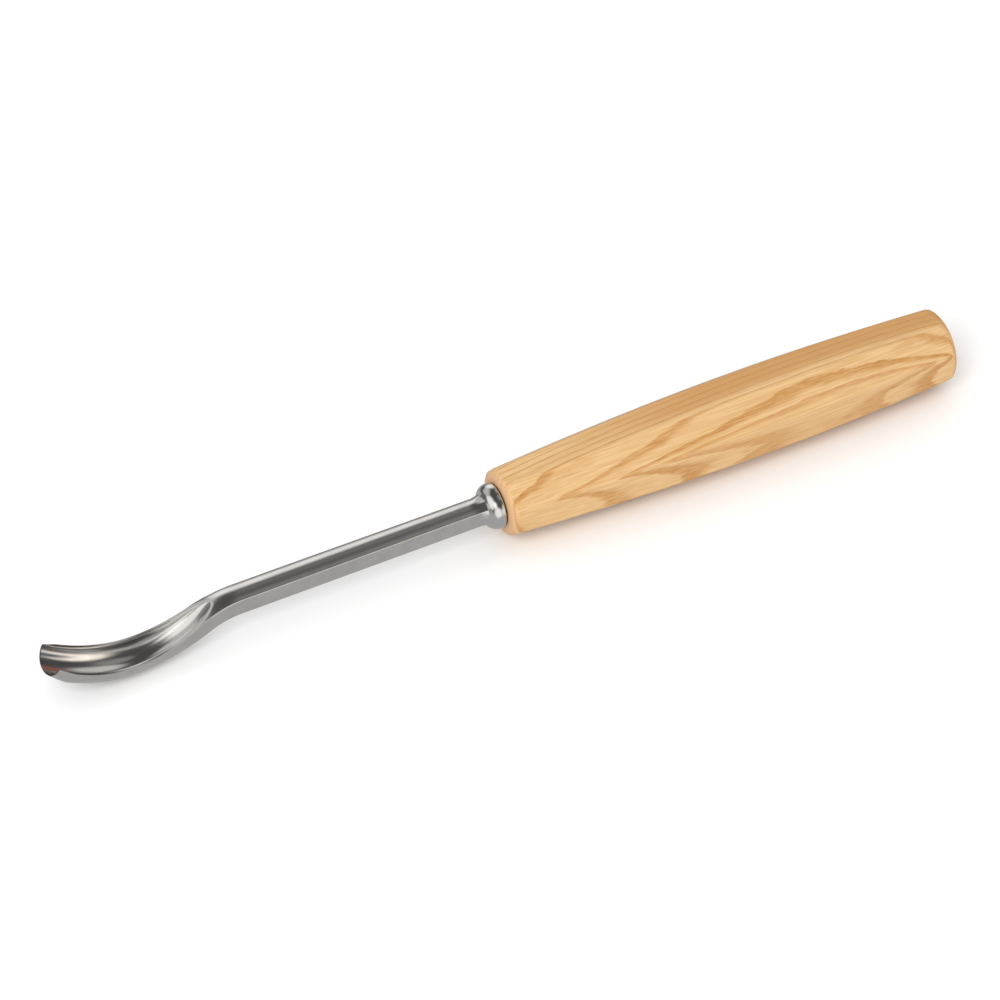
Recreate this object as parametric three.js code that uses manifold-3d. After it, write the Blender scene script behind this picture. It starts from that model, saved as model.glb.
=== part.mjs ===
import * as THREE from 'three';
import { mergeVertices } from 'three/addons/utils/BufferGeometryUtils.js';
import Module from 'manifold-3d';

// A spoon-bent carving gouge with an octagonal ash handle, in millimetres.
// The tool axis is level and runs along X, from the cutting edge to the butt of the handle.
// The channel of the blade opens upwards, along +Z.
// Stations on the X axis start at 0 at the two wings of the cutting edge.

const wasm = await Module();
wasm.setup();

// ---- Driving dimensions ----

const EDGE_WIDTH = 10; // across the wings of the cutting edge
const WALL = 1; // thickness of the channel wall
const CHANNEL_DEPTH = 4.3; // rim to channel floor, at and behind the edge
const EDGE_THICKNESS = 0.12; // blunt width left on the modelled cutting edge
const BEVEL_LENGTH = 3.8; // outside bevel behind the edge
const BLADE_REACH = 120.5; // wings of the edge to the front face of the handle
const LEAN_SHARE = 0.866; // how much of the rim's slope each cross-section leans with

const SPOON_BOTTOM = 21.5; // station of the lowest point of the spoon
const HOLLOW_END = 42.6; // station where the hollow of the channel runs out
const LAND_START = 35.5; // station where the flat land starts to leave the sides
const LAND_END = 43.3; // station of the tip of the flat land
const SHANK_START = 50; // station from which the shank has its full section
const CROWN_START = 31; // where the top starts to rise above the side edges
const CROWN_FULL = 44; // and where it has its full crown
const HOLLOW_WIDTH_POWER = 4.5; // how late the hollow narrows
const HOLLOW_DEPTH_POWER = 1.8; // how late the hollow gets shallower
const RUNOUT_RIM = 0.6; // width of the wall's rim where the hollow runs out

const SHANK_SIDE = 4.4; // height of the shank's flat sides
const TOP_CROWN = 0.95; // rise of the shank's top above its side edges
const BOTTOM_CROWN = 0.9; // the same below

// Side view of the rim, and of the shank's upper edges: station, height, slope.
const RIM_LINE = [
  [0, 3.15, -0.72],
  [SPOON_BOTTOM, -4.95, 0],
  [38.5, -0.45, 0.5],
  [49, 2.2, 0],
  [BLADE_REACH, 2.1, 0],
];

// Plan view of the blade: station, half width, slope.
const PLAN_LINE = [
  [0, EDGE_WIDTH / 2 + WALL, 0],
  [SPOON_BOTTOM, 5.2, -0.075],
  [38.5, 3.75, -0.1],
  [SHANK_START, 3.12, 0],
  [BLADE_REACH, 2.95, 0],
];

const NARROWEST_STRIP = 0.02; // of the half width, between two places across the top
const STRIP_SPREAD = 0.6; // of the half width, how far apart the places are along the shank

const FIT_GAP = 0.3; // clearance between separate pieces

const FLANGE_RADIUS = 5.85;
const FLANGE_RIM = 0.9; // straight edge of the bolster's flange
const BOLSTER_DOME = 2.9; // length of its domed front
const NECK_RADIUS = 3.6; // where the dome meets the shank

const TANG_LENGTH = 55;
const TANG_ROOT_SIDE = 4.6;
const TANG_TIP_SIDE = 2.6;

const FERRULE_OUTER_RADIUS = 5.2;
const FERRULE_INNER_RADIUS = 4.5;
const FERRULE_LENGTH = 12;

const HANDLE_LENGTH = 125;
const HANDLE_SIDES = 8;
const FLATS_FRONT = 16.75; // across the flats at the front
const FLATS_MIDDLE = 21.7; // at the widest stretch
const FLATS_BUTT = 18.2; // at the butt
const WIDEST_START = 66; // the widest stretch, behind the handle's front face
const WIDEST_END = 74;
const SWELL_POWER = 1.75; // shape of the swell towards the widest stretch
const FRONT_ROUND = 2.9; // turned rounding of the front end
const BUTT_ROUND = 4.2; // turned rounding of the butt end

const STEPS = {
  spoon: 40, // cross-sections from the edge to the full shank section
  shank: 5, // cross-sections along the plain shank
  crown: 3, // points across each side of the crown
  arc: 7, // points across each half of the hollow
  dome: 8,
  turned: 40, // sides of a turned surface
  barrel: 9, // cross-sections on each side of the handle's widest stretch
  round: 5,
};

// ---- Helpers ----

function paint(color, roughness, metalness) {
  return new THREE.MeshStandardMaterial({ color, roughness, metalness });
}

function clamp01(value) {
  return THREE.MathUtils.clamp(value, 0, 1);
}

// Height and slope, at one station, of the smooth line through [station, height, slope] points.
function lineAt(points, station) {
  const last = points.length - 2;
  const found = points.findIndex((point, i) => i > 0 && station <= point[0]) - 1;
  const i = found < 0 ? last : found;
  const [x0, z0, slope0] = points[i];
  const [x1, z1, slope1] = points[i + 1];
  const span = x1 - x0;
  const curve = new THREE.CubicBezierCurve(
    new THREE.Vector2(x0, z0),
    new THREE.Vector2(x0 + span / 3, z0 + (slope0 * span) / 3),
    new THREE.Vector2(x1 - span / 3, z1 - (slope1 * span) / 3),
    new THREE.Vector2(x1, z1),
  );
  const t = (station - x0) / span;
  const tangent = curve.getTangent(t);
  return { height: curve.getPoint(t).y, slope: tangent.y / tangent.x };
}

// Turns a shape made about the Y axis so that it lies along X.
function layAlongX(geometry) {
  return geometry.rotateZ(-Math.PI / 2);
}

function solidOf(geometry) {
  const bare = geometry.clone();
  bare.deleteAttribute('normal');
  bare.deleteAttribute('uv');
  const merged = mergeVertices(bare);
  const vertProperties = new Float32Array(merged.attributes.position.array);
  const triVerts = new Uint32Array(merged.index.array);
  return new wasm.Manifold(new wasm.Mesh({ numProp: 3, vertProperties, triVerts }));
}

function geometryOf(solid) {
  const mesh = solid.getMesh();
  const geometry = new THREE.BufferGeometry();
  geometry.setAttribute('position', new THREE.BufferAttribute(mesh.vertProperties, 3));
  geometry.setIndex(new THREE.BufferAttribute(mesh.triVerts, 1));
  geometry.computeVertexNormals();
  return geometry;
}

function namedMesh(name, geometry, material) {
  const mesh = new THREE.Mesh(geometry, material);
  mesh.name = name;
  return mesh;
}

// A ring turned about the X axis, between two radii and two stations.
function ring(innerRadius, outerRadius, start, end) {
  const profile = [
    new THREE.Vector2(innerRadius, start),
    new THREE.Vector2(outerRadius, start),
    new THREE.Vector2(outerRadius, end),
    new THREE.Vector2(innerRadius, end),
    new THREE.Vector2(innerRadius, start),
  ];
  return layAlongX(new THREE.LatheGeometry(profile, STEPS.turned));
}

// A square bar that tapers along X, with its flats facing up, down and sideways.
function squareTaper(startSide, endSide, start, end) {
  const halfDiagonal = Math.SQRT1_2;
  const bar = new THREE.CylinderGeometry(
    endSide * halfDiagonal, startSide * halfDiagonal, end - start, 4,
  );
  bar.rotateY(Math.PI / 4);
  return layAlongX(bar).translate((start + end) / 2, 0, 0);
}

// ---- Blade: spoon and shank ----

function bevelAt(station) {
  return clamp01(station / BEVEL_LENGTH);
}

function halfWidthAt(station) {
  const missing = (WALL - EDGE_THICKNESS) * (1 - bevelAt(station));
  return lineAt(PLAN_LINE, station).height - missing;
}

function hollowProgress(station) {
  return clamp01((station - SPOON_BOTTOM) / (HOLLOW_END - SPOON_BOTTOM));
}

function hollowHalfWidthAt(station) {
  const closing = Math.sqrt(1 - hollowProgress(station) ** HOLLOW_WIDTH_POWER);
  const rim = THREE.MathUtils.lerp(WALL, RUNOUT_RIM, hollowProgress(station));
  return (lineAt(PLAN_LINE, station).height - rim) * closing;
}

function hollowDepthAt(station) {
  return CHANNEL_DEPTH * (1 - hollowProgress(station) ** HOLLOW_DEPTH_POWER);
}

function shankShareAt(station) {
  return THREE.MathUtils.smoothstep(station, SPOON_BOTTOM, SHANK_START);
}

// Half width of the flat land, which ends in a round tip on the crowned shank.
function landHalfWidthAt(station) {
  const progress = clamp01((station - LAND_START) / (LAND_END - LAND_START));
  return halfWidthAt(station) * Math.sqrt(1 - progress ** 2);
}

// Height of the crowned top above the side edges.
function crownAt(station, y) {
  const full = TOP_CROWN * THREE.MathUtils.smoothstep(station, CROWN_START, CROWN_FULL);
  return full * (1 - (y / halfWidthAt(station)) ** 2);
}

// Height of the top surface above the side edges: crown, flat land or hollow.
function topAt(station, y) {
  const landHalfWidth = landHalfWidthAt(station);
  const hollowHalfWidth = hollowHalfWidthAt(station);
  if (Math.abs(y) >= landHalfWidth) {
    return crownAt(station, y);
  }
  const land = crownAt(station, landHalfWidth);
  if (Math.abs(y) >= hollowHalfWidth) {
    return land;
  }
  return land - hollowDepthAt(station) * Math.sqrt(1 - (y / hollowHalfWidth) ** 2);
}

// Places across one half of the top, from the side edge to the middle. They stay apart where
// the land and the hollow have run out.
function topPlaces(station) {
  const edge = halfWidthAt(station);
  const least = edge * NARROWEST_STRIP;
  const pastLand = Math.max(0, station - LAND_END) / (SHANK_START - LAND_END);
  const spread = least + edge * STRIP_SPREAD * Math.min(1, pastLand);
  const land = Math.min(Math.max(landHalfWidthAt(station), spread), edge - least);
  const hollow = Math.min(Math.max(hollowHalfWidthAt(station), spread / 2), land - least / 2);
  const places = [];
  for (let i = 0; i < STEPS.crown; i += 1) {
    places.push(THREE.MathUtils.lerp(edge, land, i / STEPS.crown));
  }
  places.push(land);
  for (let i = 0; i <= STEPS.arc; i += 1) {
    places.push(hollow * Math.cos((i / STEPS.arc) * (Math.PI / 2)));
  }
  return places;
}

// One point of the underside; turn runs from 0 at one side edge to PI at the other.
function undersideAt(station, turn) {
  const width = halfWidthAt(station);
  const thickness = THREE.MathUtils.lerp(EDGE_THICKNESS, WALL, bevelAt(station));
  const bowl = new THREE.Vector2(
    width * Math.cos(turn),
    -(CHANNEL_DEPTH + thickness) * Math.sin(turn),
  );
  const across = THREE.MathUtils.clamp(Math.SQRT2 * Math.cos(turn), -1, 1);
  const downSide = Math.min(1, Math.SQRT2 * Math.sin(turn));
  const shank = new THREE.Vector2(
    width * across,
    -SHANK_SIDE * downSide - BOTTOM_CROWN * (1 - across ** 2),
  );
  return bowl.lerp(shank, shankShareAt(station));
}

// The closed outline of one cross-section, in the blade's own leaning plane.
function sectionAt(station) {
  const half = topPlaces(station);
  const mirrored = half.slice(0, -1).reverse().map((y) => -y);
  const places = [...half, ...mirrored];
  const top = places.map((y) => new THREE.Vector2(y, topAt(station, y)));
  const count = places.length - 1;
  const under = places.map((y, i) => undersideAt(station, (i / count) * Math.PI));
  const { height, slope } = lineAt(RIM_LINE, station);
  const lean = LEAN_SHARE * Math.atan(slope);
  const place = ({ x, y }) => new THREE.Vector3(
    station - y * Math.sin(lean),
    x,
    height + y * Math.cos(lean),
  );
  return { top: top.map(place), under: under.map(place) };
}

function bladeStations(end) {
  const spoon = [];
  for (let i = 0; i < STEPS.spoon; i += 1) {
    spoon.push((i / STEPS.spoon) * SHANK_START);
  }
  for (let i = 0; i <= STEPS.shank; i += 1) {
    spoon.push(THREE.MathUtils.lerp(SHANK_START, end, i / STEPS.shank));
  }
  return spoon;
}

// Skins a row of cross-sections and closes both ends.
function skin(sections) {
  const points = [];
  const faces = [];
  const across = sections[0].top.length;
  const topIndex = (row, i) => row * 2 * across + i;
  const underIndex = (row, i) => (2 * row + 1) * across + i;
  const quad = (a, b, c, d) => faces.push(a, b, c, a, c, d);
  for (const { top, under } of sections) {
    points.push(...top, ...under);
  }
  for (let i = 0; i + 1 < across; i += 1) {
    for (let row = 0; row + 1 < sections.length; row += 1) {
      quad(topIndex(row, i), topIndex(row, i + 1), topIndex(row + 1, i + 1), topIndex(row + 1, i));
      quad(underIndex(row, i), underIndex(row + 1, i), underIndex(row + 1, i + 1), underIndex(row, i + 1));
    }
    const back = sections.length - 1;
    quad(topIndex(0, i), underIndex(0, i), underIndex(0, i + 1), topIndex(0, i + 1));
    quad(topIndex(back, i), topIndex(back, i + 1), underIndex(back, i + 1), underIndex(back, i));
  }
  const geometry = new THREE.BufferGeometry().setFromPoints(points);
  geometry.setIndex(faces);
  return geometry;
}

function spoonAndShank() {
  const end = BLADE_REACH - FIT_GAP - FLANGE_RIM - BOLSTER_DOME / 2;
  return skin(bladeStations(end).map(sectionAt));
}

// ---- Blade: bolster and tang ----

function bolster() {
  const back = BLADE_REACH - FIT_GAP;
  const rim = back - FLANGE_RIM;
  const dome = new THREE.EllipseCurve(
    NECK_RADIUS, rim, FLANGE_RADIUS - NECK_RADIUS, BOLSTER_DOME, -Math.PI / 2, 0,
  );
  const profile = [
    new THREE.Vector2(0, rim - BOLSTER_DOME),
    ...dome.getPoints(STEPS.dome),
    new THREE.Vector2(FLANGE_RADIUS, back),
    new THREE.Vector2(0, back),
  ];
  return layAlongX(new THREE.LatheGeometry(profile, STEPS.turned));
}

function tang() {
  const root = BLADE_REACH - FIT_GAP - FLANGE_RIM / 2;
  return squareTaper(TANG_ROOT_SIDE, TANG_TIP_SIDE, root, BLADE_REACH + TANG_LENGTH);
}

function gougeBlade() {
  const forged = solidOf(spoonAndShank()).add(solidOf(bolster())).add(solidOf(tang()));
  return namedMesh('gouge_blade', geometryOf(forged), paint(0xb4b5ba, 0.22, 1));
}

// ---- Ferrule inside the handle ----

function internalFerrule() {
  const band = ring(
    FERRULE_INNER_RADIUS, FERRULE_OUTER_RADIUS, BLADE_REACH, BLADE_REACH + FERRULE_LENGTH,
  );
  return namedMesh('internal_ferrule', band, paint(0x8d8f94, 0.4, 1));
}

// ---- Handle ----

// Size across the flats at a distance behind the front face.
function flatsAt(distance) {
  if (distance < WIDEST_START) {
    const towardsFront = (WIDEST_START - distance) / WIDEST_START;
    return FLATS_MIDDLE - (FLATS_MIDDLE - FLATS_FRONT) * towardsFront ** SWELL_POWER;
  }
  if (distance > WIDEST_END) {
    const towardsButt = (distance - WIDEST_END) / (HANDLE_LENGTH - WIDEST_END);
    return FLATS_MIDDLE - (FLATS_MIDDLE - FLATS_BUTT) * towardsButt ** SWELL_POWER;
  }
  return FLATS_MIDDLE;
}

function handleDistances() {
  const distances = [];
  for (let i = 0; i <= STEPS.barrel; i += 1) {
    distances.push(THREE.MathUtils.lerp(0, WIDEST_START, i / STEPS.barrel));
  }
  for (let i = 0; i <= STEPS.barrel; i += 1) {
    distances.push(THREE.MathUtils.lerp(WIDEST_END, HANDLE_LENGTH, i / STEPS.barrel));
  }
  return distances;
}

// From the axis to the handle's arrises, at a distance behind the front face.
function arrisRadiusAt(distance) {
  return flatsAt(distance) / 2 / Math.cos(Math.PI / HANDLE_SIDES);
}

function octagonalBarrel() {
  const profile = [
    new THREE.Vector2(0, BLADE_REACH),
    ...handleDistances().map((distance) => (
      new THREE.Vector2(arrisRadiusAt(distance), BLADE_REACH + distance)
    )),
    new THREE.Vector2(0, BLADE_REACH + HANDLE_LENGTH),
  ];
  return layAlongX(new THREE.LatheGeometry(profile, HANDLE_SIDES, Math.PI / HANDLE_SIDES));
}

// A round blank, clear of the barrel except for the turned rounding of its two ends.
function turnedEnds() {
  const frontRadius = arrisRadiusAt(FRONT_ROUND) + FIT_GAP / 10;
  const buttRadius = arrisRadiusAt(HANDLE_LENGTH - BUTT_ROUND) + FIT_GAP / 10;
  const clear = FLATS_MIDDLE;
  const front = new THREE.EllipseCurve(
    frontRadius - FRONT_ROUND, BLADE_REACH + FRONT_ROUND, FRONT_ROUND, FRONT_ROUND, -Math.PI / 2, 0,
  );
  const butt = new THREE.EllipseCurve(
    buttRadius - BUTT_ROUND, BLADE_REACH + HANDLE_LENGTH - BUTT_ROUND, BUTT_ROUND, BUTT_ROUND,
    0, Math.PI / 2,
  );
  const profile = [
    new THREE.Vector2(0, BLADE_REACH),
    ...front.getPoints(STEPS.round),
    new THREE.Vector2(clear, BLADE_REACH + FRONT_ROUND),
    new THREE.Vector2(clear, BLADE_REACH + HANDLE_LENGTH - BUTT_ROUND),
    ...butt.getPoints(STEPS.round),
    new THREE.Vector2(0, BLADE_REACH + HANDLE_LENGTH),
  ];
  return layAlongX(new THREE.LatheGeometry(profile, STEPS.turned));
}

// The bore for the tang, a fit gap larger all round, from just outside the front face.
function tangBore() {
  const mouth = BLADE_REACH - FLANGE_RIM / 2 - FIT_GAP;
  return squareTaper(
    TANG_ROOT_SIDE + 2 * FIT_GAP, TANG_TIP_SIDE + 2 * FIT_GAP, mouth, BLADE_REACH + TANG_LENGTH + FIT_GAP,
  );
}

function ferruleGroove() {
  return ring(
    FERRULE_INNER_RADIUS - FIT_GAP, FERRULE_OUTER_RADIUS + FIT_GAP,
    BLADE_REACH - FIT_GAP, BLADE_REACH + FERRULE_LENGTH + FIT_GAP,
  );
}

function handle() {
  const outside = solidOf(octagonalBarrel()).intersect(solidOf(turnedEnds()));
  const wood = outside.subtract(solidOf(tangBore())).subtract(solidOf(ferruleGroove()));
  return namedMesh('handle', geometryOf(wood), paint(0xe0b77c, 0.45, 0));
}

// ---- Assembly ----

const group = new THREE.Group();
group.add(gougeBlade(), internalFerrule(), handle());

// Moves the tool so that the origin is under the middle of its length, on the bench it lies on.
const bounds = new THREE.Box3().setFromObject(group);
group.position.set(-(bounds.min.x + bounds.max.x) / 2, 0, -bounds.min.z);
group.updateMatrixWorld(true);

export default group;
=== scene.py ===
import math

import bmesh
import bpy
from mathutils import Matrix, Vector


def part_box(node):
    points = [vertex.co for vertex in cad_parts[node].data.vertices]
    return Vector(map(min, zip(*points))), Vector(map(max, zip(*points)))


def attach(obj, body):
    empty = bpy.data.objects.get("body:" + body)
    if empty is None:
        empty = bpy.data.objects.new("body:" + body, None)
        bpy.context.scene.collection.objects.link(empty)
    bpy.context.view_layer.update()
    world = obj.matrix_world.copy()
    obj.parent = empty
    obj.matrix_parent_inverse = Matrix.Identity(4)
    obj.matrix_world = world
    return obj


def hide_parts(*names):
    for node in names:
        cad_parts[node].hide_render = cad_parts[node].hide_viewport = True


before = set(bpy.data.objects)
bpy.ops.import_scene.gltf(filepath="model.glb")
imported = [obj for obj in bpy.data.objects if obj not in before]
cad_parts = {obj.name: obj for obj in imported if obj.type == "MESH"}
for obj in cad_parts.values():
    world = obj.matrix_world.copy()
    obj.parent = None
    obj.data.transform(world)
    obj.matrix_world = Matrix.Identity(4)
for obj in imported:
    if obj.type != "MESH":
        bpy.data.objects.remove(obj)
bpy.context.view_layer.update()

# Until a mesh is made, lengths are in millimetres, and a station is a distance along the tool axis
# from the wings of the cutting edge. MM turns them into metres.
MM = 0.001

# ---- Places taken from the frame ----

handle_low, handle_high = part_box("handle")
AXIS_HEIGHT = (handle_low.z + handle_high.z) / 2 / MM
HANDLE_LENGTH = (handle_high.x - handle_low.x) / MM
FLATS_MIDDLE = (handle_high.z - handle_low.z) / MM

# ---- Blade sizes, the same as the CAD model's, with a keener edge and softened arrises ----

EDGE_WIDTH = 10.0  # across the wings of the cutting edge
WALL = 1.0  # thickness of the channel wall
CHANNEL_DEPTH = 4.3
EDGE_THICKNESS = 0.05
BEVEL_LENGTH = 3.8
BLADE_REACH = 120.5  # wings of the edge to the front face of the handle
LEAN_SHARE = 0.866  # how much of the rim's slope each cross-section leans with
SPOON_BOTTOM = 21.5  # station of the lowest point of the spoon
HOLLOW_END = 42.6
LAND_START = 35.5  # the flat land leaves the sides here, and closes to a tip at LAND_END
LAND_END = 43.3
SHANK_START = 50.0
CROWN_START = 31.0  # the top starts to rise above the side edges, up to its full crown
CROWN_FULL = 44.0
HOLLOW_WIDTH_POWER = 4.5  # how late the hollow narrows
HOLLOW_DEPTH_POWER = 1.8  # how late it gets shallower
RUNOUT_RIM = 0.6  # width of the wall's rim where the hollow runs out
SHANK_SIDE = 4.4
TOP_CROWN = 0.95
BOTTOM_CROWN = 0.9

# Side view of the rim and plan view of the blade: station, height or half width, slope.
RIM_LINE = (
    (0.0, 3.15, -0.72),
    (SPOON_BOTTOM, -4.95, 0.0),
    (38.5, -0.45, 0.5),
    (49.0, 2.2, 0.0),
    (BLADE_REACH, 2.1, 0.0),
)
PLAN_LINE = (
    (0.0, EDGE_WIDTH / 2 + WALL, 0.0),
    (SPOON_BOTTOM, 5.2, -0.075),
    (38.5, 3.75, -0.1),
    (SHANK_START, 3.12, 0.0),
    (BLADE_REACH, 2.95, 0.0),
)

FIT_GAP = 0.3  # clearance between separate pieces
FLANGE_RADIUS = 5.85
FLANGE_RIM = 0.9
FLANGE_BACK = BLADE_REACH - FIT_GAP
FLANGE_FRONT = FLANGE_BACK - FLANGE_RIM
BOLSTER_DOME = 2.9
NECK = FLANGE_FRONT - BOLSTER_DOME
NECK_RADIUS = 3.6
NECK_FILLET = 0.7  # how wide the dome and the shank blend into each other
RIM_ROUND = 0.3
TANG_LENGTH = 55.0
TANG_ROOT_SIDE = 4.6
TANG_TIP_SIDE = 2.6
TANG_SHOULDER = 0.4  # how far the tang spreads where it meets the flange
TANG_SHOULDER_LENGTH = 0.2
ARRIS_REACH = 0.38  # how far an arris is softened on each side of it

# ---- Handle sizes ----

FLATS_FRONT = 16.75
FLATS_BUTT = 18.2
WIDEST_START = 66.0  # the widest stretch, behind the front face
WIDEST_END = 74.0
SWELL_POWER = 1.75
FRONT_ROUND = 2.9
BUTT_ROUND = 4.2
ROUND_BLEND = 0.5  # how wide the turned ends and the facets blend into each other
ARRIS_RADIUS = 1.3
FERRULE_INNER_RADIUS = 4.5
FERRULE_OUTER_RADIUS = 5.2
FERRULE_LENGTH = 12.0

# ---- How finely the meshes are cut ----

CROWN_POINTS = 4  # points across one half of a blade section: crown, hollow, side and belly
ARC_POINTS = 15
SIDE_POINTS = 4
BELLY_POINTS = 19
BEVEL_STEPS = 12  # cross-sections along the blade
SPOON_STEPS = 70
RUNOUT_STEPS = 30
TIP_STEPS = 22
CRANK_STEPS = 22
SHANK_STEPS = 34
DOME_STEPS = 22
RIM_STEPS = 4
TIP_EASE = 2.5  # how much the cross-sections crowd together
CRANK_EASE = 1.8
DOME_EASE = 1.6
DOME_LEAD = 0.02  # from the neck to the dome's first cross-section

FLAT_POINTS = 5  # points across each flat and round each corner of the handle
CORNER_POINTS = 5
SIDES = 8
FRONT_STEPS = 16  # cross-sections along the handle
FRONT_SWELL_STEPS = 34
WIDEST_STEPS = 3
REAR_SWELL_STEPS = 28
BUTT_STEPS = 18
BUTT_CIRCLES = (0.7, 0.35)  # inner circles of the butt, as shares of its radius
CIRCLE_CORNER = 0.2  # corner radius of the octagon that a circle's points start from

# Places across the top stay this far apart where the land and the hollow have run out.
LEAST_RIM = 0.01
RIM_SHARE = 0.3
LEAST_SPREAD = 0.06
SPREAD_SHARE = 0.6
HOLLOW_SPREAD_SHARE = 0.7
LEAST_STRIP = 0.02

MOST_OF_SIDE = 0.45  # of a side, the most that one softened corner takes
TINY = 1e-6
SHARP_DEGREES = 50
NORMAL_WEIGHT = 80


# ---- Small maths ----

def lerp(a, b, t):
    return a + (b - a) * t


def clamp01(value):
    return min(1.0, max(0.0, value))


def smoothstep(value, low, high):
    t = clamp01((value - low) / (high - low))
    return t * t * (3 - 2 * t)


def line_at(points, station):
    """Height and slope at a station of the smooth line through (station, height, slope) points."""
    pairs = list(zip(points, points[1:]))
    for start, end in pairs:
        if station <= end[0]:
            break
    x0, z0, slope0 = start
    x1, z1, slope1 = end
    span = x1 - x0
    t = (station - x0) / span
    height = (
        (2 * t**3 - 3 * t**2 + 1) * z0
        + (t**3 - 2 * t**2 + t) * span * slope0
        + (3 * t**2 - 2 * t**3) * z1
        + (t**3 - t**2) * span * slope1
    )
    slope = (
        (6 * t**2 - 6 * t) * (z0 - z1) / span
        + (3 * t**2 - 4 * t + 1) * slope0
        + (3 * t**2 - 2 * t) * slope1
    )
    return height, slope


def steps(start, end, count, ease=1.0):
    """Values from start up to, but not including, end. An ease over 1 crowds them at the start."""
    return [lerp(start, end, (i / count) ** ease) for i in range(count)]


def crowded_end(start, end, count, ease=2.0):
    """The same, crowded at the end instead."""
    return [lerp(start, end, 1 - (1 - i / count) ** ease) for i in range(count)]


def quarter_turn(count):
    """Angles from 0 to a quarter turn."""
    return [i / count * math.pi / 2 for i in range(count + 1)]


# ---- Blade cross-sections ----

def bevel_at(station):
    return clamp01(station / BEVEL_LENGTH)


def half_width_at(station):
    missing = (WALL - EDGE_THICKNESS) * (1 - bevel_at(station))
    return line_at(PLAN_LINE, station)[0] - missing


def hollow_progress(station):
    return clamp01((station - SPOON_BOTTOM) / (HOLLOW_END - SPOON_BOTTOM))


def hollow_half_width_at(station):
    closing = math.sqrt(1 - hollow_progress(station) ** HOLLOW_WIDTH_POWER)
    rim = lerp(WALL, RUNOUT_RIM, hollow_progress(station))
    return (line_at(PLAN_LINE, station)[0] - rim) * closing


def hollow_depth_at(station):
    return CHANNEL_DEPTH * (1 - hollow_progress(station) ** HOLLOW_DEPTH_POWER)


def land_half_width_at(station):
    progress = clamp01((station - LAND_START) / (LAND_END - LAND_START))
    return half_width_at(station) * math.sqrt(1 - progress**2)


def crown_at(station, y):
    full = TOP_CROWN * smoothstep(station, CROWN_START, CROWN_FULL)
    return full * (1 - (y / half_width_at(station)) ** 2)


def top_at(station, y):
    """Height of the top surface above the side edges: crown, flat land or hollow."""
    land_half = land_half_width_at(station)
    hollow_half = hollow_half_width_at(station)
    if abs(y) >= land_half:
        return crown_at(station, y)
    land = crown_at(station, land_half)
    if abs(y) >= hollow_half:
        return land
    return land - hollow_depth_at(station) * math.sqrt(1 - (y / hollow_half) ** 2)


def softened(before, corner, after):
    """Three points that round a corner off, from the side of before to the side of after."""
    to_before = before - corner
    to_after = after - corner
    start = corner + to_before * min(MOST_OF_SIDE, ARRIS_REACH / max(to_before.length, TINY))
    end = corner + to_after * min(MOST_OF_SIDE, ARRIS_REACH / max(to_after.length, TINY))
    return [start, (start + end + 2 * corner) / 4, end]


def top_half(station):
    """Half of the top outline, side edge to middle, and the indexes of its two inner corners."""
    edge = half_width_at(station)
    margin = RIM_SHARE * max(edge - hollow_half_width_at(station), LEAST_RIM)
    past_land = clamp01((station - LAND_END) / (SHANK_START - LAND_END))
    spread = LEAST_SPREAD + SPREAD_SHARE * edge * past_land
    land = min(max(land_half_width_at(station), spread), edge - margin)
    strip = min(margin, LEAST_STRIP + spread) / 2
    hollow = min(max(hollow_half_width_at(station), HOLLOW_SPREAD_SHARE * spread), land - strip)
    points = [Vector((lerp(edge, land, i / CROWN_POINTS), 0)) for i in range(CROWN_POINTS)]
    points.append(Vector((land, 0)))
    points.append(Vector((lerp(land, hollow, 0.5), 0)))
    points += [
        Vector((hollow * math.cos(i / ARC_POINTS * math.pi / 2), 0)) for i in range(ARC_POINTS + 1)
    ]
    for point in points:
        point.y = top_at(station, point.x)
    return points, CROWN_POINTS, CROWN_POINTS + 2


def underside_at(station, turn):
    """One point of the underside, from turn 0 at a side edge to a quarter turn at the middle."""
    width = half_width_at(station)
    depth = CHANNEL_DEPTH + lerp(EDGE_THICKNESS, WALL, bevel_at(station))
    bowl = Vector((width * math.cos(turn), -depth * math.sin(turn)))
    across = max(-1.0, min(1.0, math.sqrt(2) * math.cos(turn)))
    down_side = min(1.0, math.sqrt(2) * math.sin(turn))
    shank = Vector((width * across, -SHANK_SIDE * down_side - BOTTOM_CROWN * (1 - across**2)))
    return bowl.lerp(shank, smoothstep(station, SPOON_BOTTOM, SHANK_START))


def under_half(station):
    """Half of the underside, side edge to middle, and the index of its corner."""
    side = [i / SIDE_POINTS * math.pi / 4 for i in range(SIDE_POINTS)]
    belly = [math.pi / 4 * (1 + i / BELLY_POINTS) for i in range(BELLY_POINTS + 1)]
    return [underside_at(station, turn) for turn in side + belly], SIDE_POINTS


def blade_section(station):
    """(top, under): two point lists across the section, sharing their first and last points."""
    top, land_corner, hollow_corner = top_half(station)
    under, low_corner = under_half(station)
    edge = softened(top[1], top[0], under[1])
    top_run = [edge[1], edge[0]]
    for i in range(1, len(top)):
        if i in (land_corner, hollow_corner):
            top_run += softened(top[i - 1], top[i], top[i + 1])
        else:
            top_run.append(top[i])
    under_run = [edge[1], edge[2]]
    for i in range(1, len(under)):
        if i == low_corner:
            under_run += softened(under[i - 1], under[i], under[i + 1])
        else:
            under_run.append(under[i])
    return mirrored(top_run), mirrored(under_run)


def mirrored(half):
    return half + [Vector((-point.x, point.y)) for point in reversed(half[:-1])]


def blade_ring(station):
    """A closed ring of points round the blade, leaning with the rim."""
    top, under = blade_section(station)
    height, slope = line_at(RIM_LINE, station)
    lean = LEAN_SHARE * math.atan(slope)
    flat_ring = top + under[-2:0:-1]
    return [
        Vector((station - p.y * math.sin(lean), p.x, height + p.y * math.cos(lean)))
        for p in flat_ring
    ]


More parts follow.
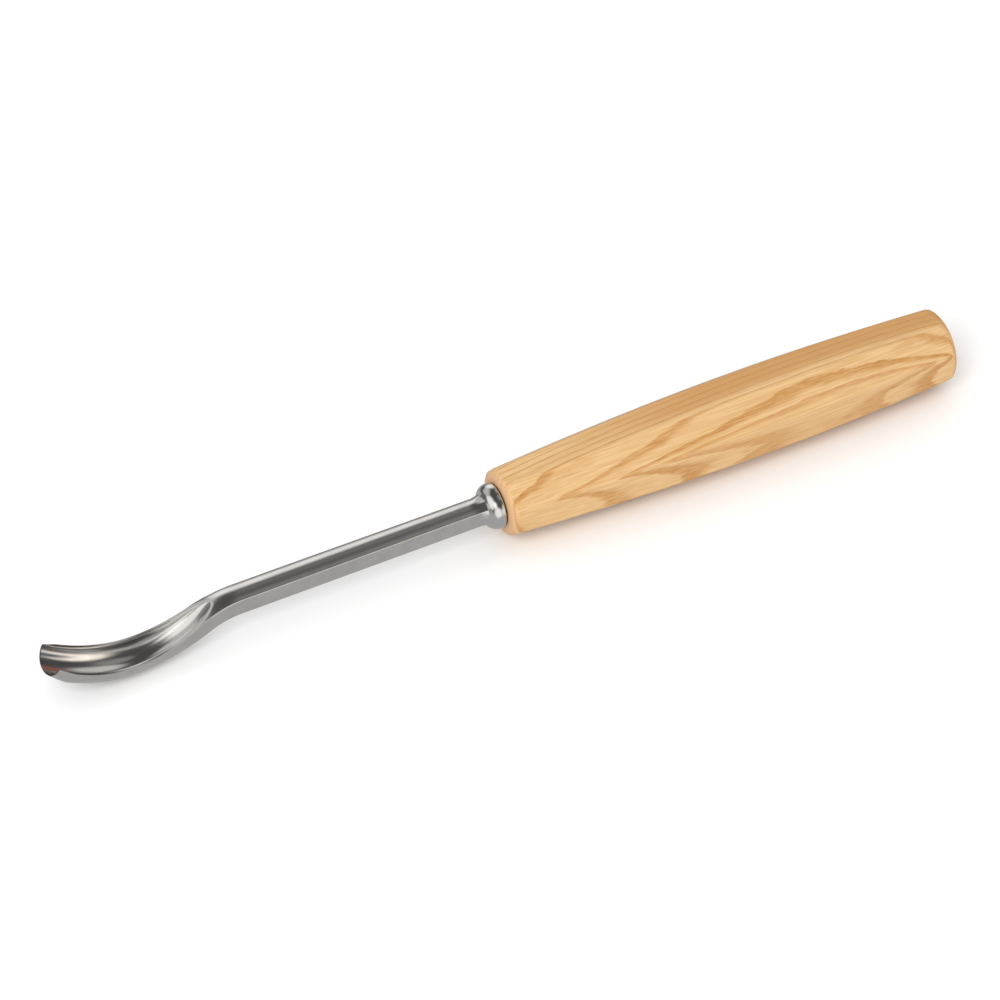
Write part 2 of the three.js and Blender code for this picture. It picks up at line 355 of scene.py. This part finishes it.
# ---- Bolster and tang, as rings that carry on from the shank ----

def smooth_max(a, b, blend):
    """The larger of two values, rounded off where they are less than blend apart."""
    spread = max(blend - abs(a - b), 0.0) / blend
    return max(a, b) + spread * spread * blend / 4


def turned_out(ring, radius, station):
    """Pushes a ring's points out to a radius about the tool axis where the radius is larger."""
    pushed = []
    for point in ring:
        distance = math.hypot(point.y, point.z)
        scale = smooth_max(distance, radius, NECK_FILLET) / distance
        pushed.append(Vector((station, point.y * scale, point.z * scale)))
    return pushed


def dome_radius(station):
    share = clamp01((FLANGE_FRONT - station) / BOLSTER_DOME)
    return NECK_RADIUS + (FLANGE_RADIUS - NECK_RADIUS) * math.sqrt(1 - share**2)


def squared(ring, half_side, station):
    """Moves a ring's points to a square about the tool axis."""
    moved = []
    for point in ring:
        scale = half_side / max(abs(point.y), abs(point.z))
        moved.append(Vector((station, point.y * scale, point.z * scale)))
    return moved


def bolster_and_tang_rings():
    base = blade_ring(NECK)
    rings = []
    for station in crowded_end(NECK + DOME_LEAD, FLANGE_FRONT, DOME_STEPS, DOME_EASE):
        rings.append(turned_out(base, dome_radius(station), station))
    for turn in quarter_turn(RIM_STEPS):
        radius = FLANGE_RADIUS - RIM_ROUND * (1 - math.cos(turn))
        rings.append(turned_out(base, radius, FLANGE_BACK - RIM_ROUND * (1 - math.sin(turn))))
    half_root = TANG_ROOT_SIDE / 2
    rings.append(squared(base, half_root + TANG_SHOULDER, FLANGE_BACK))
    rings.append(squared(base, half_root, FLANGE_BACK + TANG_SHOULDER_LENGTH))
    rings.append(squared(base, TANG_TIP_SIDE / 2, BLADE_REACH + TANG_LENGTH))
    return rings


def blade_stations():
    return (
        steps(0, BEVEL_LENGTH, BEVEL_STEPS)
        + steps(BEVEL_LENGTH, LAND_START, SPOON_STEPS)
        + crowded_end(LAND_START, HOLLOW_END, RUNOUT_STEPS)
        + crowded_end(HOLLOW_END, LAND_END, TIP_STEPS, TIP_EASE)
        + steps(LAND_END, SHANK_START, CRANK_STEPS, CRANK_EASE)
        + steps(SHANK_START, NECK, SHANK_STEPS)
    )


# ---- Handle rings ----

def flats_at(distance):
    """Width across the flats at a distance behind the handle's front face."""
    if distance < WIDEST_START:
        towards_front = (WIDEST_START - distance) / WIDEST_START
        return FLATS_MIDDLE - (FLATS_MIDDLE - FLATS_FRONT) * towards_front**SWELL_POWER
    if distance > WIDEST_END:
        towards_butt = (distance - WIDEST_END) / (HANDLE_LENGTH - WIDEST_END)
        return FLATS_MIDDLE - (FLATS_MIDDLE - FLATS_BUTT) * towards_butt**SWELL_POWER
    return FLATS_MIDDLE


def octagon(distance, half_flats, corner_radius):
    """A ring with eight flats and rounded corners."""
    points = []
    half_side = half_flats * math.tan(math.pi / SIDES)
    flat_end = half_side - corner_radius * math.tan(math.pi / SIDES)
    for side in range(SIDES):
        turn = side * 2 * math.pi / SIDES
        out = Vector((math.cos(turn), math.sin(turn)))
        along = Vector((-math.sin(turn), math.cos(turn)))
        for i in range(FLAT_POINTS):
            place = lerp(-flat_end, flat_end, i / (FLAT_POINTS - 1))
            points.append(out * half_flats + along * place)
        centre = out * (half_flats - corner_radius) + along * flat_end
        for i in range(1, CORNER_POINTS):
            bend = turn + i / CORNER_POINTS * 2 * math.pi / SIDES
            points.append(centre + corner_radius * Vector((math.cos(bend), math.sin(bend))))
    return [Vector((BLADE_REACH + distance, p.x, p.y)) for p in points]


def circle(distance, radius):
    """A circle with as many points as an octagon."""
    base = octagon(distance, radius, radius * CIRCLE_CORNER)
    return [Vector((p.x, *(Vector((p.y, p.z)).normalized() * radius))) for p in base]


def square(distance, half_side):
    return squared(circle(distance, half_side), half_side, BLADE_REACH + distance)


def arris_radius_at(distance):
    return flats_at(distance) / 2 / math.cos(math.pi / SIDES)


def turned_radius_at(distance):
    """Radius that the turned rounding of an end leaves, or None away from the ends."""
    from_butt = HANDLE_LENGTH - distance
    if distance < FRONT_ROUND:
        arris = arris_radius_at(FRONT_ROUND)
        return arris - FRONT_ROUND * (1 - math.sqrt(1 - (1 - distance / FRONT_ROUND) ** 2))
    if from_butt < BUTT_ROUND:
        arris = arris_radius_at(HANDLE_LENGTH - BUTT_ROUND)
        return arris - BUTT_ROUND * (1 - math.sqrt(1 - (1 - from_butt / BUTT_ROUND) ** 2))
    return None


def barrel_ring(distance):
    """The handle's outside at a distance behind its front face."""
    ring = octagon(distance, flats_at(distance) / 2, ARRIS_RADIUS)
    turned = turned_radius_at(distance)
    if turned is None:
        return ring
    limited = []
    for point in ring:
        radius = math.hypot(point.y, point.z)
        scale = -smooth_max(-radius, -turned, ROUND_BLEND) / radius
        limited.append(Vector((point.x, point.y * scale, point.z * scale)))
    return limited


def handle_rings():
    """From the end of the bore, out of the front face, over the outside and to the butt."""
    bore_root = TANG_ROOT_SIDE / 2 + FIT_GAP
    bore_tip = TANG_TIP_SIDE / 2 + FIT_GAP
    groove_in = FERRULE_INNER_RADIUS - FIT_GAP
    groove_out = FERRULE_OUTER_RADIUS + FIT_GAP
    groove_end = FERRULE_LENGTH + FIT_GAP
    rings = [
        square(TANG_LENGTH + FIT_GAP, bore_tip),
        square(0, bore_root),
        circle(0, groove_in),
        circle(groove_end, groove_in),
        circle(groove_end, groove_out),
        circle(0, groove_out),
    ]
    distances = (
        [FRONT_ROUND * (1 - math.cos(turn)) for turn in quarter_turn(FRONT_STEPS)[:-1]]
        + steps(FRONT_ROUND, WIDEST_START, FRONT_SWELL_STEPS)
        + steps(WIDEST_START, WIDEST_END, WIDEST_STEPS)
        + steps(WIDEST_END, HANDLE_LENGTH - BUTT_ROUND, REAR_SWELL_STEPS)
        + [HANDLE_LENGTH - BUTT_ROUND * (1 - math.sin(turn)) for turn in quarter_turn(BUTT_STEPS)]
    )
    rings += [barrel_ring(distance) for distance in distances]
    butt_disc = turned_radius_at(HANDLE_LENGTH)
    for share in BUTT_CIRCLES:
        rings.append(circle(HANDLE_LENGTH, butt_disc * share))
    return rings


# ---- Meshes ----

def to_frame(point):
    """A point on the tool, in millimetres, to the row frame, in metres."""
    return Vector((
        handle_low.x + (point.x - BLADE_REACH) * MM,
        point.y * MM,
        (AXIS_HEIGHT + point.z) * MM,
    ))


def strip_cap(points, start, count):
    """Faces straight across a ring, such as the thin crescent of the edge. It adds no points."""
    middle = count // 2
    faces = [(start, start + 1, start + count - 1)]
    for i in range(1, middle - 1):
        faces.append((start + i, start + i + 1, start + count - i - 1, start + count - i))
    faces.append((start + middle - 1, start + middle, start + middle + 1))
    return faces


def fan_cap(points, start, count):
    """Faces from a ring to its centre, which is added to the points."""
    centre = len(points)
    points.append(sum(points[start:start + count], Vector()) / count)
    return [(start + i, start + (i + 1) % count, centre) for i in range(count)]


def skinned(name, rings, cap):
    """A closed mesh over a row of rings, with the same kind of cap at both ends."""
    count = len(rings[0])
    points = [to_frame(p) for ring in rings for p in ring]
    faces = []
    for row in range(len(rings) - 1):
        for i in range(count):
            j = (i + 1) % count
            low, high = row * count, (row + 1) * count
            faces.append((low + i, low + j, high + j, high + i))
    faces += [face[::-1] for face in cap(points, 0, count)]
    faces += cap(points, (len(rings) - 1) * count, count)
    mesh = bpy.data.meshes.new(name)
    mesh.from_pydata([tuple(p) for p in points], [], faces)
    mesh.validate()
    mesh.shade_smooth()
    piece = bpy.data.objects.new(name, mesh)
    bpy.context.collection.objects.link(piece)
    return piece


def face_outwards(piece):
    work = bmesh.new()
    work.from_mesh(piece.data)
    bmesh.ops.recalc_face_normals(work, faces=work.faces)
    if work.calc_volume(signed=True) < 0:
        bmesh.ops.reverse_faces(work, faces=work.faces)
    work.to_mesh(piece.data)
    work.free()


def finish_mesh(piece):
    """Outward faces, and smooth shading that follows the larger faces between sharp corners."""
    face_outwards(piece)
    piece.data.set_sharp_from_angle(angle=math.radians(SHARP_DEGREES))
    weighted = piece.modifiers.new("weighted_normals", "WEIGHTED_NORMAL")
    weighted.keep_sharp = True
    weighted.weight = NORMAL_WEIGHT


def make_blade():
    rings = [blade_ring(station) for station in blade_stations()] + bolster_and_tang_rings()
    piece = skinned("blade_forging", rings, strip_cap)
    finish_mesh(piece)
    return piece


def make_handle():
    piece = skinned("ash_handle", handle_rings(), fan_cap)
    finish_mesh(piece)
    return piece


# ---- Materials ----

class Graph:
    """Short ways to add shader nodes to one material or world."""

    def __init__(self, tree):
        self.tree = tree
        self.tree.nodes.clear()

    def node(self, kind, **settings):
        made = self.tree.nodes.new(kind)
        for name, value in settings.items():
            setattr(made, name, value)
        return made

    def link(self, value, socket):
        if hasattr(value, "is_output"):
            self.tree.links.new(value, socket)
        else:
            socket.default_value = value

    def math(self, operation, a, b=0.0):
        made = self.node("ShaderNodeMath", operation=operation)
        self.link(a, made.inputs[0])
        self.link(b, made.inputs[1])
        return made.outputs[0]

    def vector(self, x, y, z):
        made = self.node("ShaderNodeCombineXYZ")
        for value, socket in zip((x, y, z), made.inputs):
            self.link(value, socket)
        return made.outputs[0]

    def stretched(self, place, along, across):
        """A place scaled along the tool and across it."""
        x, y, z = place
        return self.vector(
            self.math("MULTIPLY", x, along),
            self.math("MULTIPLY", y, across),
            self.math("MULTIPLY", z, across),
        )

    def centred(self, noise, reach):
        """A noise from 0 to 1, turned into one that goes as far down as up."""
        return self.math("MULTIPLY", self.math("SUBTRACT", noise, 0.5), reach)

    def noise(self, vector, scale, detail, roughness=0.5):
        made = self.node("ShaderNodeTexNoise")
        self.link(vector, made.inputs["Vector"])
        made.inputs["Scale"].default_value = scale
        made.inputs["Detail"].default_value = detail
        made.inputs["Roughness"].default_value = roughness
        return made.outputs["Fac"]

    def smooth(self, value, low, high, to_low=0.0, to_high=1.0):
        made = self.node("ShaderNodeMapRange", interpolation_type="SMOOTHSTEP")
        self.link(value, made.inputs["Value"])
        for name, number in (
            ("From Min", low), ("From Max", high), ("To Min", to_low), ("To Max", to_high),
        ):
            made.inputs[name].default_value = number
        return made.outputs["Result"]

    def ramp(self, value, stops):
        """A grey ramp through (place, grey) stops."""
        made = self.node("ShaderNodeValToRGB")
        elements = made.color_ramp.elements
        while len(elements) < len(stops):
            elements.new(0.5)
        for element, (place, grey) in zip(elements, stops):
            element.position = place
            element.color = (grey, grey, grey, 1)
        self.link(value, made.inputs[0])
        return made.outputs[0]

    def mix(self, share, a, b):
        """From colour a to colour b."""
        made = self.node("ShaderNodeMix", data_type="RGBA")
        self.link(share, made.inputs[0])
        self.link(a, made.inputs[6])
        self.link(b, made.inputs[7])
        return made.outputs[2]


def linear(red, green, blue):
    """A colour as seen on a screen, 0 to 255, as a scene-linear colour, by the sRGB formula."""
    def one(value):
        share = value / 255
        return share / 12.92 if share <= 0.04045 else ((share + 0.055) / 1.055) ** 2.4
    return one(red), one(green), one(blue), 1


ASH_PALE = linear(224, 186, 134)
ASH_TAN = linear(206, 163, 106)
ASH_HEART = linear(190, 137, 74)
ASH_EARLY = linear(184, 127, 58)
ASH_PIT = linear(150, 96, 42)
# End-grain colour: pinker than the side grain, and darker as a painted shade on the ends.
ASH_END_GRAIN_AND_SHADE = linear(212, 166, 126)

# The ash is sawn so that its growth rings lie across the line from the tool axis to the arris
# between the handle's front and upper front facets. Each ring is a shallow roof over that line, so
# the handle's swell cuts the rings into long V shapes on the arris.
ARRIS_DIRECTION = (-0.924, 0.383)  # in y and z
ROOF_SLOPE = 0.45
ROOF_ROUND = 4.0  # how wide the roof's ridge is rounded
ROOF_LEAN = 0.06
RING_TILT = 1.15  # how far the rings drift over the stretch below
TILT_STRETCH = (44, 122)  # along the handle, from the middle of the tool's length
TOP_RINGS = (8.2, 9.8, 10.68, 11.2, 12.5, 13.3)
RING_SPACING = 1.45  # below the top rings
EARLY_WOOD = 0.36
MOST_EARLY_WOOD = 0.7  # of a narrow ring
LOWEST_RING = -13.75

# Noises in the wood: scale along the grain and across it, per millimetre, then the detail.
SLOW_WANDER = (0.03, 0.12, 2.0)
QUICK_WANDER = (0.2, 0.9, 3.0)
SLOW_WANDER_REACH = 0.6  # how far the rings wander
QUICK_WANDER_REACH = 0.22
FIBRES = (0.05, 2.4, 4.0)
PORES = (0.22, 4.5, 2.0)
FIBRE_ROUGHNESS = 0.6
PORE_ROUGHNESS = 0.6

# How dark the porous early wood is through a year's growth.
SEASON_STOPS = ((0.0, 0.0), (0.08, 0.95), (0.3, 0.85), (0.5, 0.2), (0.75, 0.05), (1.0, 0.0))
FIBRE_CONTRAST = (0.3, 0.7)  # the values of each noise between which it goes from none to full
PORE_CONTRAST = (0.3, 0.62)
PIT_CONTRAST = (0.58, 0.7)
GLOSS_CONTRAST = (0.2, 0.8)
END_NORMALS = (0.3, 0.9)  # how far a surface turns to the ends, from no end grain and painted shade to full
FAINTEST_YEAR = 0.75
PALEST_PORES = 0.5
PIT_SHARE = 0.5
HEART_SHARE = 0.8
HEART_LEVELS = (9.6, 7.2)
HEART_STRETCH = (5, 60)  # along the handle, from the middle of the tool's length
END_GRAIN_AND_SHADE_SHARE = 0.6
LACQUER_COAT = 0.25
LACQUER_COAT_ROUGHNESS = 0.3
LACQUER_ROUGHNESS = (0.42, 0.52)
WOOD_BUMP = 0.15
WOOD_BUMP_DEPTH = 0.0001  # metres


def object_millimetres(graph):
    """A place on the tool in millimetres, from the middle of its length and from its axis."""
    coordinates = graph.node("ShaderNodeTexCoord").outputs["Object"]
    split = graph.node("ShaderNodeSeparateXYZ")
    graph.link(coordinates, split.inputs[0])
    x = graph.math("DIVIDE", split.outputs[0], MM)
    y = graph.math("DIVIDE", split.outputs[1], MM)
    z = graph.math("SUBTRACT", graph.math("DIVIDE", split.outputs[2], MM), AXIS_HEIGHT)
    return x, y, z


def ash_material():
    material = bpy.data.materials.new("lacquered_ash")
    material.use_nodes = True
    graph = Graph(material.node_tree)
    x, y, z = object_millimetres(graph)

    def grain(along, across, detail, roughness=0.5):
        """Noise that is drawn out along the handle."""
        place = graph.stretched((x, y, z), along, across)
        return graph.noise(place, 1.0, detail, roughness)

    # Height through the rings, with slow and quick wander of the grain.
    out_y, out_z = ARRIS_DIRECTION
    along_arris = graph.math(
        "ADD", graph.math("MULTIPLY", y, out_y), graph.math("MULTIPLY", z, out_z))
    aside = graph.math(
        "SUBTRACT", graph.math("MULTIPLY", y, out_z), graph.math("MULTIPLY", z, out_y))
    roof = graph.math(
        "SQRT", graph.math("ADD", graph.math("MULTIPLY", aside, aside), ROOF_ROUND**2))
    roof = graph.math("MULTIPLY", graph.math("SUBTRACT", roof, ROOF_ROUND), ROOF_SLOPE)
    roof = graph.math("SUBTRACT", roof, graph.math("MULTIPLY", aside, ROOF_LEAN))
    level = graph.math("ADD", along_arris, roof)
    level = graph.math("ADD", level, graph.smooth(x, *TILT_STRETCH, 0.0, RING_TILT))
    level = graph.math("ADD", level, graph.centred(grain(*SLOW_WANDER), SLOW_WANDER_REACH))
    level = graph.math("ADD", level, graph.centred(grain(*QUICK_WANDER), QUICK_WANDER_REACH))

    # A curve through the ring levels counts the rings, however far apart they are. The first half
    # of each count is early wood, much the same width in every ring.
    lower = []
    next_ring = TOP_RINGS[0] - RING_SPACING
    while next_ring > LOWEST_RING:
        lower.insert(0, next_ring)
        next_ring -= RING_SPACING
    levels = lower + list(TOP_RINGS)
    span = levels[-1] - levels[0]
    curve = graph.node("ShaderNodeFloatCurve")
    points = curve.mapping.curves[0].points
    for i, (ring_level, next_level) in enumerate(zip(levels, levels[1:])):
        early_end = ring_level + min(EARLY_WOOD, MOST_EARLY_WOOD * (next_level - ring_level))
        if i > 0:
            points.new((ring_level - levels[0]) / span, i / (len(levels) - 1))
        points.new((early_end - levels[0]) / span, (i + 0.5) / (len(levels) - 1))
    for point in points:
        point.handle_type = "VECTOR"
    curve.mapping.update()
    share = graph.math("DIVIDE", graph.math("SUBTRACT", level, levels[0]), span)
    graph.link(share, curve.inputs["Value"])
    rings = graph.math("MULTIPLY", curve.outputs[0], float(len(levels) - 1))
    season = graph.math("FRACT", rings)
    year = graph.node("ShaderNodeTexWhiteNoise", noise_dimensions="1D")
    graph.link(graph.math("FLOOR", rings), year.inputs["W"])

    # Each ring starts with a thin porous band; fibres and pores run along the handle.
    fibre = grain(*FIBRES, FIBRE_ROUGHNESS)
    pore = grain(*PORES, PORE_ROUGHNESS)
    early = graph.ramp(season, SEASON_STOPS)
    wood = graph.mix(graph.smooth(fibre, *FIBRE_CONTRAST), ASH_TAN, ASH_PALE)
    # Darker, browner wood towards the heart, on the rear of the top facet.
    heart = graph.math(
        "MULTIPLY", graph.smooth(level, *HEART_LEVELS), graph.smooth(x, *HEART_STRETCH))
    wood = graph.mix(graph.math("MULTIPLY", heart, HEART_SHARE), wood, ASH_HEART)
    strength = graph.smooth(year.outputs["Value"], 0.0, 1.0, FAINTEST_YEAR, 1.0)
    porous = graph.smooth(pore, *PORE_CONTRAST, PALEST_PORES, 1.0)
    broken = graph.math("MULTIPLY", early, porous)
    broken = graph.math("MULTIPLY", broken, strength)
    colour = graph.mix(broken, wood, ASH_EARLY)
    pit = graph.math("MULTIPLY", early, graph.smooth(pore, *PIT_CONTRAST))
    colour = graph.mix(graph.math("MULTIPLY", pit, PIT_SHARE), colour, ASH_PIT)

    # Cut fibre ends on the rounded front and butt are pinker, and also darker as a painted shade
    # for ends that turn away from the light.
    normal = graph.node("ShaderNodeSeparateXYZ")
    graph.link(graph.node("ShaderNodeTexCoord").outputs["Normal"], normal.inputs[0])
    facing_ends = graph.math("ABSOLUTE", normal.outputs[0])
    end_grain_and_shade = graph.smooth(facing_ends, *END_NORMALS, 0.0, END_GRAIN_AND_SHADE_SHARE)
    colour = graph.mix(end_grain_and_shade, colour, ASH_END_GRAIN_AND_SHADE)

    shader = graph.node("ShaderNodeBsdfPrincipled")
    graph.link(colour, shader.inputs["Base Color"])
    gloss = graph.smooth(fibre, *GLOSS_CONTRAST, *LACQUER_ROUGHNESS)
    graph.link(gloss, shader.inputs["Roughness"])
    shader.inputs["Coat Weight"].default_value = LACQUER_COAT
    shader.inputs["Coat Roughness"].default_value = LACQUER_COAT_ROUGHNESS
    bump = graph.node("ShaderNodeBump")
    bump.inputs["Strength"].default_value = WOOD_BUMP
    bump.inputs["Distance"].default_value = WOOD_BUMP_DEPTH
    graph.link(graph.math("SUBTRACT", fibre, pit), bump.inputs["Height"])
    graph.link(bump.outputs[0], shader.inputs["Normal"])
    graph.link(shader.outputs[0], graph.node("ShaderNodeOutputMaterial").inputs[0])
    return material


POLISHED_STEEL = (0.69, 0.675, 0.66)
TURNED_STEEL = (0.5, 0.5, 0.51)
CLOUD_CONTRAST = (0.3, 0.7)
CLOUD_SHADE = 0.93
CLOUD_SCALE = 0.25
CLOUD_DETAIL = 3.0
CLOUD_ROUGHNESS = 0.06
SCRATCHES = (0.25, 9.0)  # scale along the tool and across it, per millimetre
SCRATCH_DETAIL = 3.0
SCRATCH_ROUGHNESS = 0.65
SCRATCH_BUMP = 0.25
SCRATCH_DEPTH = 0.00002  # metres
GROUND_REAR = (4.4, 3.4)  # in front of the handle, where the ground finish fades out


def steel_material(name, colour, polished, ground):
    """Bare steel, with a ground finish from the end of the hollow to the bolster."""
    material = bpy.data.materials.new(name)
    material.use_nodes = True
    graph = Graph(material.node_tree)
    x, y, z = object_millimetres(graph)
    shoulder = handle_low.x / MM
    edge = shoulder - BLADE_REACH
    fade_start, fade_end = GROUND_REAR
    shank = graph.math(
        "MULTIPLY",
        graph.smooth(x, edge + LAND_START, edge + LAND_END),
        graph.smooth(x, shoulder - fade_start, shoulder - fade_end, 1.0, 0.0),
    )
    scratch = graph.noise(
        graph.stretched((x, y, z), *SCRATCHES), 1.0, SCRATCH_DETAIL, SCRATCH_ROUGHNESS)
    cloud = graph.noise(graph.vector(x, y, z), CLOUD_SCALE, CLOUD_DETAIL)
    roughness = graph.math("ADD", polished, graph.math("MULTIPLY", shank, ground - polished))
    roughness = graph.math("ADD", roughness, graph.centred(cloud, CLOUD_ROUGHNESS))
    shader = graph.node("ShaderNodeBsdfPrincipled")
    shader.inputs["Metallic"].default_value = 1.0
    clouded = [channel * CLOUD_SHADE for channel in colour]
    shade = graph.mix(graph.smooth(cloud, *CLOUD_CONTRAST), (*colour, 1), (*clouded, 1))
    graph.link(shade, shader.inputs["Base Color"])
    graph.link(roughness, shader.inputs["Roughness"])
    bump = graph.node("ShaderNodeBump")
    bump.inputs["Distance"].default_value = SCRATCH_DEPTH
    graph.link(graph.math("MULTIPLY", shank, SCRATCH_BUMP), bump.inputs["Strength"])
    graph.link(scratch, bump.inputs["Height"])
    graph.link(bump.outputs[0], shader.inputs["Normal"])
    graph.link(shader.outputs[0], graph.node("ShaderNodeOutputMaterial").inputs[0])
    return material


# ---- Studio ----

CAMERA_AZIMUTH = -26.26
CAMERA_ELEVATION = 43.0
CAMERA_ROLL = -1.38
CAMERA_DISTANCE = 2.056
CAMERA_LENS = 302.3
CAMERA_NEAR = 0.05
CAMERA_FAR = 20
AIM_STATION = 121.17  # the camera looks at this place on the tool, in millimetres
AIM_HEIGHT = 1.1

FLOOR_HALF = 6.0
FLOOR_WHITE = 0.92
FLOOR_ROUGHNESS = 0.9
WHITE_STRENGTH = 0.95

KEY_PLACE = (-0.9, -0.9, 1.3)
KEY_SIZE = 0.9
KEY_POWER = 14


def make_camera():
    """A long lens; at azimuth 0 it would look along +Y."""
    azimuth = math.radians(CAMERA_AZIMUTH)
    elevation = math.radians(CAMERA_ELEVATION)
    back = Vector((
        math.sin(azimuth) * math.cos(elevation),
        -math.cos(azimuth) * math.cos(elevation),
        math.sin(elevation),
    ))
    data = bpy.data.cameras.new("camera")
    data.lens = CAMERA_LENS
    data.clip_start = CAMERA_NEAR
    data.clip_end = CAMERA_FAR
    camera = bpy.data.objects.new("camera", data)
    bpy.context.collection.objects.link(camera)
    roll = Matrix.Rotation(math.radians(CAMERA_ROLL), 3, "Z").to_quaternion()
    camera.rotation_mode = "QUATERNION"
    camera.rotation_quaternion = back.to_track_quat("Z", "Y") @ roll
    camera.location = to_frame(Vector((AIM_STATION, 0, AIM_HEIGHT))) + back * CAMERA_DISTANCE
    bpy.context.scene.camera = camera


def make_floor():
    half = FLOOR_HALF
    corners = [(-half, -half, 0), (half, -half, 0), (half, half, 0), (-half, half, 0)]
    mesh = bpy.data.meshes.new("floor")
    mesh.from_pydata(corners, [], [(0, 1, 2, 3)])
    floor = bpy.data.objects.new("floor", mesh)
    bpy.context.collection.objects.link(floor)
    material = bpy.data.materials.new("white_sweep")
    material.use_nodes = True
    graph = Graph(material.node_tree)
    shader = graph.node("ShaderNodeBsdfPrincipled")
    shader.inputs["Base Color"].default_value = (FLOOR_WHITE, FLOOR_WHITE, FLOOR_WHITE, 1)
    shader.inputs["Roughness"].default_value = FLOOR_ROUGHNESS
    shader.inputs["Specular IOR Level"].default_value = 0.0
    graph.link(shader.outputs[0], graph.node("ShaderNodeOutputMaterial").inputs[0])
    mesh.materials.append(material)
    floor.visible_glossy = False


# Soft round panels that only reflections see: the direction towards the panel, its outer and inner
# radius in degrees, and its colour.
PANELS = (
    ((-0.84, -0.10, 0.53), 38, 24, (1.20, 1.19, 1.17)),
    ((-0.43, 0.69, 0.59), 30, 16, (0.65, 0.64, 0.63)),
    ((0.24, 0.88, 0.41), 25, 10, (1.15, 1.14, 1.13)),
    ((-0.31, -0.95, 0.00), 34, 20, (1.20, 1.19, 1.18)),
    ((0.47, -0.88, -0.07), 24, 11, (1.05, 0.99, 0.90)),
    ((0.47, -0.25, 0.85), 21, 8, (0.30, 0.30, 0.29)),
    ((0.64, 0.33, 0.69), 22, 12, (0.72, 0.71, 0.69)),
    ((0.66, -0.71, 0.24), 24, 9, (1.75, 1.62, 1.43)),
    ((-0.49, -0.62, 0.62), 20, 9, (1.50, 1.49, 1.47)),
    ((0.77, -0.63, 0.09), 14, 4, (0.04, 0.06, 0.11)),
    ((0.89, 0.41, 0.21), 14, 4, (0.30, 0.10, 0.06)),
)
DARK_STUDIO = 0.07  # what reflections see between the panels
LIT_BENCH = 0.50  # and further down than BENCH_DOWN
BENCH_DOWN = -0.3


def make_world():
    """Even white light, and a studio of soft panels that only reflections see."""
    world = bpy.data.worlds.new("studio")
    bpy.context.scene.world = world
    world.use_nodes = True
    graph = Graph(world.node_tree)
    direction = graph.node("ShaderNodeTexCoord").outputs["Generated"]
    split = graph.node("ShaderNodeSeparateXYZ")
    graph.link(direction, split.inputs[0])

    bench = graph.smooth(split.outputs[2], 0.0, BENCH_DOWN, DARK_STUDIO, LIT_BENCH)
    colour = graph.vector(bench, bench, bench)
    for towards, edge, core, light in PANELS:
        facing = graph.node("ShaderNodeVectorMath", operation="DOT_PRODUCT")
        graph.link(direction, facing.inputs[0])
        facing.inputs[1].default_value = Vector(towards).normalized()
        share = graph.smooth(
            facing.outputs["Value"], math.cos(math.radians(edge)), math.cos(math.radians(core)))
        colour = graph.mix(share, colour, (*light, 1))
    mirror = graph.node("ShaderNodeBackground")
    graph.link(colour, mirror.inputs["Color"])
    even = graph.node("ShaderNodeBackground")
    even.inputs["Color"].default_value = (1, 1, 1, 1)
    even.inputs["Strength"].default_value = WHITE_STRENGTH
    path = graph.node("ShaderNodeLightPath")
    choose = graph.node("ShaderNodeMixShader")
    graph.link(path.outputs["Is Glossy Ray"], choose.inputs[0])
    graph.tree.links.new(even.outputs[0], choose.inputs[1])
    graph.tree.links.new(mirror.outputs[0], choose.inputs[2])
    graph.tree.links.new(choose.outputs[0], graph.node("ShaderNodeOutputWorld").inputs[0])


def make_key_light():
    """A soft light for the shadow, turned towards the origin; reflections don't see it."""
    data = bpy.data.lights.new("key", "AREA")
    data.shape = "DISK"
    data.size = KEY_SIZE
    data.energy = KEY_POWER
    light = bpy.data.objects.new("key", data)
    light.location = KEY_PLACE
    light.rotation_mode = "QUATERNION"
    light.rotation_quaternion = Vector(KEY_PLACE).to_track_quat("Z", "Y")
    light.visible_glossy = False
    bpy.context.collection.objects.link(light)


# ---- Build ----

make_camera()
make_floor()
make_world()
make_key_light()

blade = make_blade()
blade_steel = steel_material(
    "ground_and_polished_steel", POLISHED_STEEL, polished=0.2, ground=0.24)
blade.data.materials.append(blade_steel)
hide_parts("gouge_blade")
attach(blade, "root")

handle = make_handle()
handle.data.materials.append(ash_material())
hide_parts("handle")
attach(handle, "root")

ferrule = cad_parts["internal_ferrule"]
ferrule_steel = steel_material("turned_steel", TURNED_STEEL, polished=0.3, ground=0.35)
for material_slot in ferrule.material_slots:
    material_slot.material = ferrule_steel

bpy.context.scene.view_settings.view_transform = "Standard"
